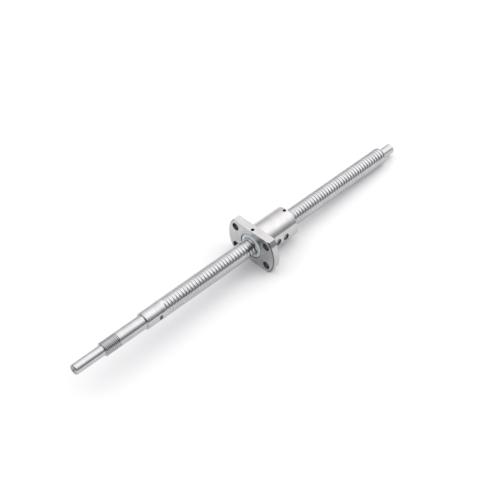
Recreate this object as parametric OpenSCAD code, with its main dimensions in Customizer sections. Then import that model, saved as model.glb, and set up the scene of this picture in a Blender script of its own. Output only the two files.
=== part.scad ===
// Miniature ball screw with a flanged single nut and internal ball return.
// The screw lies along X. The origin is on the screw axis, in the mounting face
// of the flange (the face towards the nut barrel). +Z is square to the flange flats.

/* [Screw thread] */
// Outer diameter of the screw over the thread crests
screw_d = 10; // [9:0.1:14]
// Axial advance of the ball groove in one turn, right hand
lead = 2; // [1.9:0.05:3]
// Length of the ball thread along the screw
thread_len = 172.5; // [120:0.5:240]
// Distance from the bearing shoulder of the screw to the mounting face of the flange
nut_at = 83.1; // [60:0.1:120]

/* [Screw ends] */
// Length of the plain land between the bearing shoulder and the ball thread
land_len = 12.5; // [8:0.1:20]
// Diameter of the turned part of that land, next to the shoulder
relief_d = 9.8; // [9:0.1:9.9]
// Length of the turned part of the land
relief_len = 9.7; // [5:0.1:11]
// Width of the stop notch that is cut across the land
notch_w = 2; // [1:0.1:3]
// Depth of the stop notch
notch_depth = 0.58; // [0.2:0.02:1]
// Distance from the bearing shoulder to the middle of the stop notch
notch_at = 8.6; // [3:0.1:10]
// Diameter of the bearing journal
journal_d = 8; // [7:0.1:9]
// Length of the bearing journal
journal_len = 17.5; // [10:0.5:30]
// Diameter of the lock nut thread, kept just under the journal so that the bearing slides over it
lock_d = 7.9; // [6.5:0.1:8.9]
// Length of the lock nut thread, with its relief
lock_len = 9.5; // [6:0.5:16]
// Depth of the thread relief next to the bearing journal
lock_relief = 0.4; // [0.2:0.1:0.6]
// Width of the thread relief
lock_relief_len = 0.8; // [0.6:0.1:2]
// Diameter of the drive end that takes the coupling
drive_d = 6; // [4:0.1:7]
// Length of the drive end
drive_len = 18.5; // [10:0.5:30]
// Diameter of the supported end
support_d = 6; // [4:0.1:8]
// Length of the supported end
support_len = 9; // [5:0.5:20]
// Chamfer on the ends and shoulders of the screw
end_chamfer = 0.5; // [0.2:0.1:1]
// Chamfer where the ball thread ends at the supported end
thread_chamfer = 0.8; // [0.3:0.1:1.2]
// Diameter of the centre drillings in both ends
centre_d = 2; // [1:0.1:3]

/* [Nut] */
// Outer diameter of the flange
flange_d = 35; // [32:0.5:45]
// Distance between the two flats of the flange
flange_flats = 22; // [20:0.5:30]
// Thickness of the flange
flange_t = 5; // [4:0.1:8]
// Pitch circle diameter of the flange holes
flange_pcd = 27; // [24:0.5:28]
// Angle of each flange hole above or below the long axis of the flange
flange_hole_angle = 30; // [20:1:35]
// Diameter of the flange holes
flange_hole_d = 4.5; // [3:0.1:5]
// Outer diameter of the nut barrel
barrel_d = 18; // [17.6:0.1:20]
// Length of the nut barrel behind the mounting face
barrel_len = 23; // [21.5:0.5:35]
// Chamfer on the rims of the flange
rim_chamfer = 0.4; // [0.1:0.1:1]
// Chamfer on the free end of the barrel
barrel_chamfer = 0.4; // [0.2:0.1:1.2]

/* [Ball circuits] */
// Ball diameter
ball_d = 1.2; // [0.8:0.05:1.3]
// Height of the ball centres above the thread crests
ball_rise = 0.15; // [0.05:0.01:0.25]
// Room between a ball and the groove walls
ball_room = 0.12; // [0.08:0.01:0.2]
// Balls under load in each circuit
loaded_balls = 23; // [12:1:23]
// Balls on their way back in each deflector
return_balls = 3; // [1:1:3]
// Axial place of the middle circuit behind the mounting face
circuit_at = 10.6; // [10:0.1:14]
// Diameter of the deflector plugs
deflector_d = 4; // [3.6:0.1:4.4]
// Depth of the deflector plugs below the barrel surface
deflector_sink = 0.9; // [0.3:0.1:1.5]

/* [Wipers] */
// Wall of the nut barrel round the wiper seats
wiper_wall = 1.4; // [1.2:0.1:2.2]
// Depth of the wiper seats
wiper_seat_depth = 3.5; // [3:0.1:4.5]
// Room between a wiper and its seat, and between a set screw and its hole
fit_room = 0.05; // [0.02:0.01:0.1]
// Room between a wiper lip and the thread crests
lip_room = 0.15; // [0.1:0.01:0.3]
// Width of the open mouth between a wiper and the screw
wiper_mouth = 0.85; // [0.4:0.05:1.2]
// Depth of that mouth
mouth_depth = 1.6; // [0.8:0.1:2]
// Depth of the groove round a wiper that the set screw point reaches into
wiper_groove = 0.4; // [0.3:0.05:0.6]
// Diameter of the wiper set screws
set_screw_d = 2; // [1.6:0.1:2.4]
// Depth of the front set screw below the flange flat
front_sink = 0.9; // [0.3:0.1:2]
// Depth of the rear set screw below the barrel surface
rear_sink = 0.3; // [0.1:0.05:0.5]

/* [Hidden] */
$fn = 64;

// Flat sides of one turn of the helical surfaces
turn_sides = 16;
// Overlap that makes cuts clean, and the short one that joins the thread to its end
bite = 0.5;
nip = 0.1;
// The crests stay this much inside the plain land, so that the two never coincide
crest_drop = 0.02;

// Depth of the centre drillings
centre_depth = 0.8 * centre_d;

// Places along X
shoulder_x = -nut_at;
thread_x0 = shoulder_x + land_len;
thread_x1 = thread_x0 + thread_len;
chamfer_x = thread_x1 - thread_chamfer;
flange_front_x = -flange_t;
front_seat_x = flange_front_x + wiper_seat_depth;
rear_seat_x = barrel_len - wiper_seat_depth;

// Groove section: a trapezoid that clears the ball all round. Its half widths at the floor and
// at the mouth are shares of the clear radius, so that the walls stay clear of the ball too
floor_share = 0.58;
mouth_share = 1.04;
crest_r = screw_d / 2 - crest_drop;
ball_circle_r = screw_d / 2 + ball_rise;
groove_r = ball_d / 2 + ball_room;
flank = groove_r * (mouth_share - floor_share);
crest_w = lead - 2 * groove_r * mouth_share;
// Facets of the nut side lie inside their corners, so the corners are set out by this
chord = 1 / cos(180 / turn_sides);
nut_land_r = screw_d / 2 + 2 * ball_rise;
nut_groove_r = ball_circle_r + groove_r;

// Ball circuits: axial place and angle about X of each deflector
circuit_pitch = 1.5 * lead;
circuits = [[circuit_at - circuit_pitch, 180], [circuit_at, 0], [circuit_at + circuit_pitch, 180]];
// Groove centre at angle 0, so that the middle deflector straddles a crest
groove_x = circuit_at - lead / 2;
// Half of the angle that a ball spends in the deflector
return_angle = 26;
// Height that the deflector lifts a ball, to clear the crest
ball_lift = crest_r + groove_r + ball_room - ball_circle_r;

// Wipers
wiper_seat_d = barrel_d - 2 * wiper_wall;
wiper_r = wiper_seat_d / 2 - fit_room;
wiper_lip_r = screw_d / 2 + lip_room;
wiper_t = wiper_seat_depth - fit_room;
wiper_middle = wiper_seat_depth / 2;
// The mouth narrows a little towards its floor
mouth_draft = wiper_mouth * 0.85;
point_d = set_screw_d * 0.7;
point_len = wiper_groove + fit_room;
point_r = wiper_r - wiper_groove / 2;
socket_d = set_screw_d * 0.5;
socket_depth = set_screw_d * 0.3;

steel = [0.74, 0.75, 0.77];
nut_steel = [0.78, 0.78, 0.79];
plug_steel = [0.32, 0.32, 0.33];
ball_steel = [0.86, 0.86, 0.88];
wiper_plastic = [0.78, 0.84, 0.88];
screw_black = [0.2, 0.2, 0.21];

// A revolved solid about X from a list of [x, radius] points
module turned(points) {
    rotate([90, 0, 90]) rotate_extrude($fn = 96)
        polygon([for (p = points) [p[1], p[0]]]);
}

// A cylinder along X between two stations
module bar(x0, x1, r) {
    translate([x0, 0, 0]) rotate([0, 90, 0]) cylinder(r = r, h = x1 - x0);
}

// Moves a shape drawn along +Z at the origin to a radial place: x along the screw, angle about it
module radial(x, angle) {
    translate([x, 0, 0]) rotate([angle, 0, 0]) rotate([-90, 0, 0]) children();
}

function on_screw(x, r, angle) = [x, r * cos(angle), r * sin(angle)];

// A solid bounded by a helical surface. The section is a list of [axial offset, radius] for one
// lead; it advances one lead a turn. The last turn at each end closes on a plain round land.
module helix_solid(section, phase, x0, x1) {
    n = turn_sides;
    p = len(section);
    step = lead / n;
    first = ceil((x0 - phase) / step) + 1;
    last = floor((x1 - phase - lead) / step) - 1;
    m = last - first;
    land_r = section[0][1];
    at = function(i, s) on_screw(phase + (first + i) * step + s[0], s[1], (first + i) * 360 / n);
    rows = [for (i = [0:m], j = [0:p - 1]) at(i, section[j])];
    rim = [for (k = [1:n]) at(m + k, section[0])];
    cap0 = [for (k = [0:n - 1]) on_screw(x0, land_r, (first + k) * 360 / n)];
    cap1 = [for (k = [0:n - 1]) on_screw(x1, land_r, (last + k) * 360 / n)];
    row = function(i) i <= m ? i * p : (m + 1) * p + i - m - 1;
    id = function(i, j) j == p ? row(i + n) : row(i) + j;
    c0 = function(k) (m + 1) * p + n + k % n;
    c1 = function(k) c0(0) + n + k % n;
    sides = [for (i = [0:m - 1], j = [0:p - 1], half = [0, 1])
        half == 0 ? [id(i, j), id(i, j + 1), id(i + 1, j)]
                  : [id(i + 1, j), id(i, j + 1), id(i + 1, j + 1)]];
    start = [for (k = [0:n - 1], half = [0, 1])
        half == 0 ? [c0(k), id(k == n - 1 ? 0 : k + 1, 0), c0(k + 1)]
                  : [c0(k), id(k, 0), id(k == n - 1 ? 0 : k + 1, 0)]];
    end = [for (k = [0:n - 1], half = [0, 1])
        half == 0 ? [id(m + (k == 0 ? n : k), 0), c1(k), c1(k + 1)]
                  : [id(m + (k == 0 ? n : k), 0), c1(k + 1), id(m + k + 1, 0)]];
    run_in = [for (j = [0:p - 1]) [id(n - 1, 0), id(0, j + 1), id(0, j)]];
    run_out = [for (j = [0:p - 1]) [id(m + 1, 0), id(m, j), id(m, j + 1)]];
    lids = [[for (k = [0:n - 1]) c0(k)], [for (k = [n - 1:-1:0]) c1(k)]];
    polyhedron(concat(rows, rim, cap0, cap1), concat(sides, start, end, run_in, run_out, lids));
}

// Section of the screw side: crest, wall, floor, wall
screw_section = [[0, crest_r], [crest_w, crest_r],
    [crest_w + flank, ball_circle_r - groove_r], [lead - flank, ball_circle_r - groove_r]];
// Section of the nut side, the same groove turned outwards
nut_section = [[0, nut_land_r * chord], [crest_w, nut_land_r * chord],
    [crest_w + flank, nut_groove_r * chord], [lead - flank, nut_groove_r * chord]];
section_phase = groove_x - (lead + crest_w) / 2;

// Ball path: t from 0 to 1 crosses the deflector back over the crest to the start of the turn
return_half = lead / 2 - lead * return_angle / 360;
function crossing(c, t) = on_screw(
    c[0] + return_half * cos(180 * t),
    ball_circle_r + ball_lift * pow(max(0, sin(180 * t)), 1.5),
    c[1] + return_angle * (2 * t - 1));
function loaded(c, k) = let (turn = return_angle + k * (360 - 2 * return_angle) / (loaded_balls - 1))
    on_screw(c[0] + lead * (turn / 360 - 0.5), ball_circle_r, c[1] + turn);

function unit(v) = v / norm(v);

// The S-shaped channel that carries the balls over the crest, as one tube along the crossing
module return_channel(c) {
    rings = 11;
    sides = 8;
    tube_r = groove_r / cos(180 / sides);
    t = function(i) 1.1 * (i / (rings - 1)) - 0.05;
    ring = function(i) let (
        along = unit(crossing(c, t(i) + 0.01) - crossing(c, t(i) - 0.01)),
        out = unit([0, crossing(c, t(i))[1], crossing(c, t(i))[2]]),
        side = unit(cross(along, out)),
        up = cross(side, along))
        [for (k = [0:sides - 1]) crossing(c, t(i))
            + tube_r * (cos(360 * (k + 0.5) / sides) * side + sin(360 * (k + 0.5) / sides) * up)];
    next = function(k) (k + 1) % sides;
    walls = [for (i = [0:rings - 2], k = [0:sides - 1], half = [0, 1])
        half == 0 ? [i * sides + k, i * sides + next(k), (i + 1) * sides + k]
                  : [(i + 1) * sides + k, i * sides + next(k), (i + 1) * sides + next(k)]];
    ends = [[for (k = [sides - 1:-1:0]) k], [for (k = [0:sides - 1]) (rings - 1) * sides + k]];
    polyhedron([for (i = [0:rings - 1]) each ring(i)], concat(walls, ends));
}

// Drive end, lock nut thread, bearing journal and plain land, turned in one piece
module drive_side() {
    lock_x = shoulder_x - journal_len;
    relief_x = lock_x - lock_relief_len;
    drive_x = lock_x - lock_len;
    end_x = drive_x - drive_len;
    turned([[end_x + centre_depth, 0], [end_x, centre_d / 2],
        [end_x, drive_d / 2 - end_chamfer], [end_x + end_chamfer, drive_d / 2],
        [drive_x, drive_d / 2], [drive_x, lock_d / 2 - end_chamfer],
        [drive_x + end_chamfer, lock_d / 2], [relief_x, lock_d / 2],
        [relief_x, lock_d / 2 - lock_relief], [lock_x, lock_d / 2 - lock_relief],
        [lock_x, journal_d / 2], [shoulder_x, journal_d / 2],
        [shoulder_x, relief_d / 2 - end_chamfer / 2], [shoulder_x + end_chamfer / 2, relief_d / 2],
        [shoulder_x + relief_len, relief_d / 2], [shoulder_x + relief_len, screw_d / 2],
        [thread_x0, screw_d / 2], [thread_x0, 0]]);
}

// Chamfered end of the thread and the supported end
module support_side() {
    end_x = thread_x1 + support_len;
    inside_r = crest_r / chord - crest_drop;
    turned([[chamfer_x - nip, 0], [chamfer_x - nip, inside_r], [chamfer_x, inside_r],
        [thread_x1, inside_r - thread_chamfer], [thread_x1, support_d / 2],
        [end_x - end_chamfer, support_d / 2], [end_x, support_d / 2 - end_chamfer],
        [end_x, centre_d / 2], [end_x - centre_depth, 0]]);
}

module screw_shaft() {
    color(steel) difference() {
        union() {
            drive_side();
            helix_solid(screw_section, section_phase, thread_x0 - bite, chamfer_x);
            support_side();
        }
        radial(shoulder_x + notch_at, 180)
            translate([-notch_w / 2, -screw_d / 2, relief_d / 2 - notch_depth])
                cube([notch_w, screw_d, notch_depth + screw_d]);
    }
}

// Flange with two flats and the barrel behind it
module nut_blank() {
    intersection() {
        turned([[flange_front_x, 0], [flange_front_x, flange_d / 2 - rim_chamfer],
            [flange_front_x + rim_chamfer, flange_d / 2], [-rim_chamfer, flange_d / 2],
            [0, flange_d / 2 - rim_chamfer], [0, 0]]);
        translate([flange_front_x - bite, -flange_d, -flange_flats / 2])
            cube([flange_t + 2 * bite, 2 * flange_d, flange_flats]);
    }
    turned([[-bite, 0], [-bite, barrel_d / 2], [barrel_len - barrel_chamfer, barrel_d / 2],
        [barrel_len, barrel_d / 2 - barrel_chamfer], [barrel_len, 0]]);
}

module flange_holes() {
    for (side = [0, 180], tilt = [-1, 1])
        rotate([side + tilt * flange_hole_angle, 0, 0]) translate([0, flange_pcd / 2, 0])
            bar(flange_front_x - bite, bite, flange_hole_d / 2);
}

module nut_body() {
    color(nut_steel) difference() {
        nut_blank();
        flange_holes();
        bar(flange_front_x - bite, front_seat_x, wiper_seat_d / 2);
        bar(rear_seat_x, barrel_len + bite, wiper_seat_d / 2);
        helix_solid(nut_section, section_phase, front_seat_x - bite, rear_seat_x + bite);
        for (c = circuits) {
            radial(c[0], c[1]) cylinder(d = deflector_d, h = barrel_d);
            return_channel(c);
        }
        radial(flange_front_x + wiper_middle, 90) cylinder(d = set_screw_d, h = flange_d);
        radial(barrel_len - wiper_middle, 90) cylinder(d = set_screw_d, h = flange_d);
    }
}

// A round plug pressed into the barrel, with the return channel in its inner face
module ball_deflector(c) {
    color(plug_steel) difference() {
        radial(c[0], c[1]) translate([0, 0, nut_land_r - bite])
            cylinder(d = deflector_d - fit_room, h = barrel_d / 2 - deflector_sink - nut_land_r + bite);
        bar(c[0] - deflector_d, c[0] + deflector_d, nut_land_r);
        return_channel(c);
    }
}

module loaded_ball_row(c) {
    color(ball_steel) for (k = [0:loaded_balls - 1]) translate(loaded(c, k)) sphere(d = ball_d);
}

module return_ball_row(c) {
    color(ball_steel) for (k = [1:return_balls])
        translate(crossing(c, k / (return_balls + 1))) sphere(d = ball_d);
}

// Wiper ring with its mouth towards the open end: face is the open end, way points into the nut
module wiper(face, way) {
    groove_w = point_d + 8 * fit_room;
    color(wiper_plastic) turned([for (p = [[0, wiper_lip_r + wiper_mouth],
        [mouth_depth, wiper_lip_r + mouth_draft], [mouth_depth + mouth_draft / 2, wiper_lip_r],
        [wiper_t, wiper_lip_r], [wiper_t, wiper_r],
        [wiper_middle + groove_w / 2, wiper_r], [wiper_middle + groove_w / 2, wiper_r - wiper_groove],
        [wiper_middle - groove_w / 2, wiper_r - wiper_groove], [wiper_middle - groove_w / 2, wiper_r],
        [0, wiper_r]]) [face + way * p[0], p[1]]]);
}

module front_wiper() wiper(flange_front_x, 1);
module rear_wiper() wiper(barrel_len, -1);

// Set screw with a hexagon socket and a dog point that ends in the wiper groove
module set_screw(x, top_r) {
    color(screw_black) radial(x, 90) difference() {
        union() {
            translate([0, 0, point_r]) cylinder(d = point_d, h = point_len + bite);
            translate([0, 0, point_r + point_len])
                cylinder(d = set_screw_d - fit_room, h = top_r - point_r - point_len);
        }
        translate([0, 0, top_r - socket_depth]) cylinder(d = socket_d, h = socket_depth + bite, $fn = 6);
    }
}

module front_set_screw() set_screw(flange_front_x + wiper_middle, flange_flats / 2 - front_sink);
module rear_set_screw() set_screw(barrel_len - wiper_middle, barrel_d / 2 - rear_sink);

screw_shaft();
nut_body();
ball_deflector(circuits[0]);  // ball_deflector_1
ball_deflector(circuits[1]);  // ball_deflector_2
ball_deflector(circuits[2]);  // ball_deflector_3
loaded_ball_row(circuits[0]);  // loaded_balls_1
loaded_ball_row(circuits[1]);  // loaded_balls_2
loaded_ball_row(circuits[2]);  // loaded_balls_3
return_ball_row(circuits[0]);  // return_balls_1
return_ball_row(circuits[1]);  // return_balls_2
return_ball_row(circuits[2]);  // return_balls_3
front_wiper();
rear_wiper();
front_set_screw();
rear_set_screw();
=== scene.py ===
"""Looks of a miniature ball screw with a flanged nut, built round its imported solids.

Every piece is a set of surfaces worked out as whole arrays: turned profiles, helical sheets,
and flat or round walls that are pierced by holes. All of them are in millimetres until
assemble() welds them into one closed mesh in metres.
"""
from types import SimpleNamespace

import bpy
import numpy as np
from bpy.props import FloatProperty, FloatVectorProperty, IntProperty, PointerProperty
from mathutils import Euler, Matrix, Vector
from mathutils.geometry import delaunay_2d_cdt


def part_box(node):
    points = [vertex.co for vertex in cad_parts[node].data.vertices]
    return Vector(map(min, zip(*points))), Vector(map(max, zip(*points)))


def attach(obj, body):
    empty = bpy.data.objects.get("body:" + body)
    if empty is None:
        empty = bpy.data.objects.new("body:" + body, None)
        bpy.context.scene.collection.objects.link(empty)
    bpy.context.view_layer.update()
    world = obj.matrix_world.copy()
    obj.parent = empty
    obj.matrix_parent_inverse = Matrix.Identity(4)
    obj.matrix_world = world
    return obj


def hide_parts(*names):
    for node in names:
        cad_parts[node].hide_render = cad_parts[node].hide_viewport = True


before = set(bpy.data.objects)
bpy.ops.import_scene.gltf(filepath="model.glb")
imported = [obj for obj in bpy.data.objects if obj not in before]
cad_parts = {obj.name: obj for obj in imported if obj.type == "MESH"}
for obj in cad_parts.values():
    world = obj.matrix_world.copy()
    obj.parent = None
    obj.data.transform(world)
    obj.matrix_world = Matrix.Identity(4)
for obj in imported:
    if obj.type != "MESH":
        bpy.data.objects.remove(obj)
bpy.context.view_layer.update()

bl_info = {
    "name": "Ball screw looks",
    "version": (1, 0, 0),
    "blender": (4, 5, 0),
    "location": "View3D > Sidebar > Ball screw",
    "description": "Builds the ground screw, the flanged nut, the wipers and the stage",
    "category": "Mesh",
}

MM = 0.001
TURN = 2 * np.pi
SCREW_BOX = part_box("screw_shaft")
NUT_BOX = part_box("nut_body")

# Points that round to the same multiple of WELD_MM are one point. A corner of a face keeps its
# patch's normal while the cosine of the angle to the face's own normal is at least LEAST_LEAN.
WELD_MM = 1e-4
LEAST_LEAN = 0.6

# Ball groove in millimetres: radius of the circle of ball centres, radius of the arch's two arcs,
# distance of their centres from the middle, and half the width at the crests of the screw.
BALL_CIRCLE_R = 5.15
ARCH_R = 0.66
ARCH_SHIFT = 0.04
GROOVE_HALF = 0.603

# Fine thread in shares of its pitch, from the middle of the root: end of the flat root, and start
# of the flat crest.
VEE_ROOT = 0.1
VEE_CREST = 0.28


def place(name, description, mm, **limits):
    """A station along the screw axis in metres, given in millimetres."""
    return FloatProperty(name=name, description=description, default=mm * MM, precision=5,
                         subtype="DISTANCE", unit="LENGTH", **limits)


def length(name, description, mm):
    """A length in metres, given in millimetres."""
    return place(name, description, mm, min=0.0)


def colour(name, description, value):
    """A linear colour."""
    return FloatVectorProperty(name=name, description=description, default=value, size=3,
                               min=0.0, max=1.0, subtype="COLOR")


class BallScrewShaftSizes(bpy.types.PropertyGroup):
    """Sizes of the screw."""

    tip: place("Drive end", "Station of the drive end of the screw", SCREW_BOX[0].x / MM)
    lock: place("Lock thread", "Station where the lock nut thread starts", -110.1)
    relief: place("Thread relief", "Station where the lock nut thread ends", -100.85)
    journal: place("Journal", "Station where the bearing journal starts", -100.6)
    shoulder: place("Shoulder", "Station of the bearing shoulder", -83.1)
    step: place("Step", "Station of the small step in the land", -73.4)
    thread: place("Ball thread", "Station where the ball thread starts", -71.0)
    far_shoulder: place("Thread end", "Station where the ball thread ends",
                        SCREW_BOX[1].x / MM - 9.0)
    far_tip: place("Supported end", "Station of the supported end", SCREW_BOX[1].x / MM)
    groove_at: place("Groove", "Station of the groove centre at angle zero", 9.6)
    lead: length("Lead", "Axial advance of the ball groove in one turn", 2.0)
    crest_r: length("Crest radius", "Radius over the thread crests", 5.0)
    land_r: length("Land radius", "Radius of the land next to the shoulder", 4.9)
    journal_r: length("Journal radius", "Radius of the bearing journal", 4.0)
    lock_r: length("Lock thread radius", "Outer radius of the lock nut thread", 3.96)
    lock_root_r: length("Lock thread root", "Root radius of the lock nut thread", 3.75)
    neck_r: length("Relief radius", "Radius of the relief behind the lock nut thread", 3.55)
    lock_pitch: length("Lock thread pitch", "Pitch of the lock nut thread", 1.0)
    end_r: length("End radius", "Radius of both thin ends", 3.0)
    notch_at: place("Stop notch", "Station of the notch that is cut across the land", -74.5)
    notch_w: length("Notch width", "Width of the stop notch", 2.0)
    notch_len: length("Notch length", "Length of the stop notch round the land", 3.0)
    notch_depth: length("Notch depth", "Depth of the stop notch", 0.58)
    sides: IntProperty(name="Sides", description="Faces in one turn of the screw",
                       default=64, min=24, max=96)


class BallScrewNutSizes(bpy.types.PropertyGroup):
    """Sizes of the nut, its wipers and its set screws."""

    front: place("Front", "Station of the front face of the flange", NUT_BOX[0].x / MM)
    rear: place("Rear", "Station of the free end of the barrel", NUT_BOX[1].x / MM)
    flange_r: length("Flange radius", "Outer radius of the flange", NUT_BOX[1].y / MM)
    flat_z: length("Half flats", "Half the distance between the flats", NUT_BOX[1].z / MM)
    barrel_r: length("Barrel radius", "Outer radius of the barrel", 9.0)
    bolt_circle_r: length("Bolt circle", "Radius of the circle of flange holes", 13.5)
    bolt_r: length("Bolt hole radius", "Radius of the flange holes", 2.25)
    rim: length("Rim chamfer", "Chamfer on the round rims of the flange", 0.5)
    burr: length("Edge break", "Broken edge on flats and holes", 0.12)
    barrel_rim: length("Barrel chamfer", "Chamfer on the free end of the barrel", 0.4)
    seat_r: length("Wiper seat radius", "Radius of the wiper seats", 7.6)
    seat_depth: length("Wiper seat depth", "Depth of the wiper seats", 3.5)
    plug_r: length("Plug hole radius", "Radius of the deflector holes", 2.0)
    plug_at: place("Middle plug", "Station of the middle deflector hole", 10.6)
    plug_pitch: length("Plug spacing", "Distance from one deflector hole to the next", 3.0)
    screw_hole_r: length("Set screw hole radius", "Radius of the set screw holes", 1.0)
    sides: IntProperty(name="Sides", description="Faces in one turn of the nut",
                       default=96, min=48, max=160)


class BallScrewColours(bpy.types.PropertyGroup):
    """Colours of the finishes and of the stage."""

    screw: colour("Screw steel", "Ground and polished screw", (0.505, 0.507, 0.515))
    raceway: colour("Raceway steel", "Polished ball thread", (0.54, 0.542, 0.55))
    thread: colour("Turned steel", "Turned end faces and the bore", (0.30, 0.298, 0.285))
    lock: colour("Lock thread steel", "Turned lock nut thread", (0.404, 0.4056, 0.412))
    # The notch colour is dark: painted shade inside the stop notch.
    notch: colour("Notch skin", "Milled stop notch", (0.208, 0.24, 0.264))
    nut: colour("Nut steel", "Faces and rims of the nut", (0.54, 0.537, 0.532))
    barrel: colour("Barrel steel", "Ground barrel and flats of the nut", (0.545, 0.542, 0.538))
    # Dark skin: partly the unground skin of the flange chamfers, and partly painted shade on the
    # walls of the holes and on the wiper seat mouths.
    skin: colour("Hardened skin", "Holes and chamfers that the wheel doesn't reach",
                 (0.13, 0.15, 0.165))
    plug: colour("Deflector steel", "Deflector plugs", (0.34, 0.34, 0.35))
    ball: colour("Ball steel", "Polished balls", (0.80, 0.80, 0.82))
    wiper: colour("Wiper plastic", "Moulded wiper rings", (0.815, 0.93, 1.0))
    # The lip colour is darker and more olive than the pale ring: painted shade in the wiper mouth.
    lip: colour("Wiper lip", "Oily lip inside the wiper mouth", (0.50, 0.525, 0.485))
    black: colour("Set screw", "Blackened set screws", (0.035, 0.035, 0.038))
    floor: colour("Floor", "Pale table", (0.838, 0.838, 0.841))


def in_mm(group):
    """The lengths of a group in millimetres, and its number of sides."""
    lengths = {key: getattr(group, key) / MM for key in group.__annotations__ if key != "sides"}
    return SimpleNamespace(sides=group.sides, **lengths)


# Surfaces. A patch is (points, normals, faces, finish): faces index the points, finish is the
# number of the material, and each corner keeps the normal of its own patch.


def polar(x, r, angle):
    """Points at station x, radius r and angle about X, counted from +Y towards +Z."""
    x, r, angle = np.broadcast_arrays(x, r, angle)
    return np.stack([x, r * np.cos(angle), r * np.sin(angle)], -1)


def circle(angle):
    """Flat points of the circle of radius one."""
    return np.stack([np.cos(angle), np.sin(angle)], -1)


def unit(v):
    """Vectors of length one."""
    return v / np.maximum(np.linalg.norm(v, axis=-1, keepdims=True), 1e-12)


def turns(sides):
    """The angles of one turn, first and last both given."""
    return np.linspace(0, TURN, sides + 1)


def grid_faces(rows, columns):
    """Quads of a grid whose first direction goes round the axis and whose second follows X."""
    index = np.arange(rows * columns).reshape(rows, columns)
    return np.stack([index[:-1, :-1], index[1:, :-1], index[1:, 1:], index[:-1, 1:]],
                    -1).reshape(-1, 4)


def grid_patch(points, normals, finish):
    """A patch from arrays of shape (rows, columns, 3)."""
    faces = grid_faces(*points.shape[:2])
    return points.reshape(-1, 3), unit(normals).reshape(-1, 3), faces, finish


def turned_over(patch):
    """The same patch facing the other way."""
    points, normals, faces, finish = patch
    return points, -normals, faces[:, ::-1], finish


def profile(corners, steps=4):
    """An outline of (x, r, fillet) corners with its normals.

    Each corner with a fillet becomes an arc that touches both edges: it starts and ends at
    fillet * tan(half the turn) from the corner. Each edge gives its two ends with its own normal
    (-dr, dx), so a corner without a fillet stays sharp.
    """
    p = np.array([c[:2] for c in corners], float)
    fillet = np.array([c[2] if len(c) > 2 else 0.0 for c in corners])
    way = unit(np.diff(p, axis=0))
    points, normals = [p[0]], [np.array([-way[0, 1], way[0, 0]])]
    for i in range(1, len(p) - 1):
        a, b = way[i - 1], way[i]
        na, nb = np.array([-a[1], a[0]]), np.array([-b[1], b[0]])
        turn = np.arctan2(a[0] * b[1] - a[1] * b[0], a @ b)
        reach = fillet[i] * abs(np.tan(turn / 2))
        start = p[i] - reach * a
        t = np.linspace(0, turn, steps + 1 if reach > 0 else 2)
        centre = start + np.sign(turn) * fillet[i] * na
        arc_n = np.stack([np.cos(t) * na[0] - np.sin(t) * na[1],
                          np.sin(t) * na[0] + np.cos(t) * na[1]], -1)
        arc_n[-1] = nb
        points += list(centre - np.sign(turn) * fillet[i] * arc_n)
        normals += list(arc_n)
    points.append(p[-1])
    normals.append(np.array([-way[-1, 1], way[-1, 0]]))
    return np.array(points), np.array(normals)


def turned(corners, sides, finish, steps=4):
    """A profile turned about X: the point (x, r) goes to (x, r cos a, r sin a)."""
    p, n = profile(corners, steps)
    a = turns(sides)[:, None]
    points = polar(p[None, :, 0], p[None, :, 1], a)
    normals = polar(n[None, :, 0], n[None, :, 1], a)
    return grid_patch(points, normals, finish)


def gothic(offset, crest_r, outward=1.0):
    """Radius of a ball groove across one lead.

    The groove is a gothic arch: two arcs of radius ARCH_R whose centres lie ARCH_SHIFT to either
    side of the middle, on the circle of ball centres. At distance d from the middle the arch lies
    sqrt(ARCH_R^2 - (d + ARCH_SHIFT)^2) below that circle, or above it in the nut, where outward is
    -1. The plain crest takes over where the arch doesn't pass it.
    """
    across = np.abs(offset) + ARCH_SHIFT
    cut = BALL_CIRCLE_R - outward * np.sqrt(np.maximum(ARCH_R**2 - across**2, 0.0))
    cut = np.where(across >= ARCH_R, crest_r, cut)
    return np.minimum(cut, crest_r) if outward > 0 else np.maximum(cut, crest_r)


def vee(offset, pitch, crest_r, root_r):
    """Radius of a fine thread across one pitch: a flat root, straight flanks and a flat crest."""
    flat_root, flat_crest = VEE_ROOT * pitch, VEE_CREST * pitch
    share = np.clip((np.abs(offset) - flat_root) / (flat_crest - flat_root), 0, 1)
    return root_r + (crest_r - root_r) * share


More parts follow.
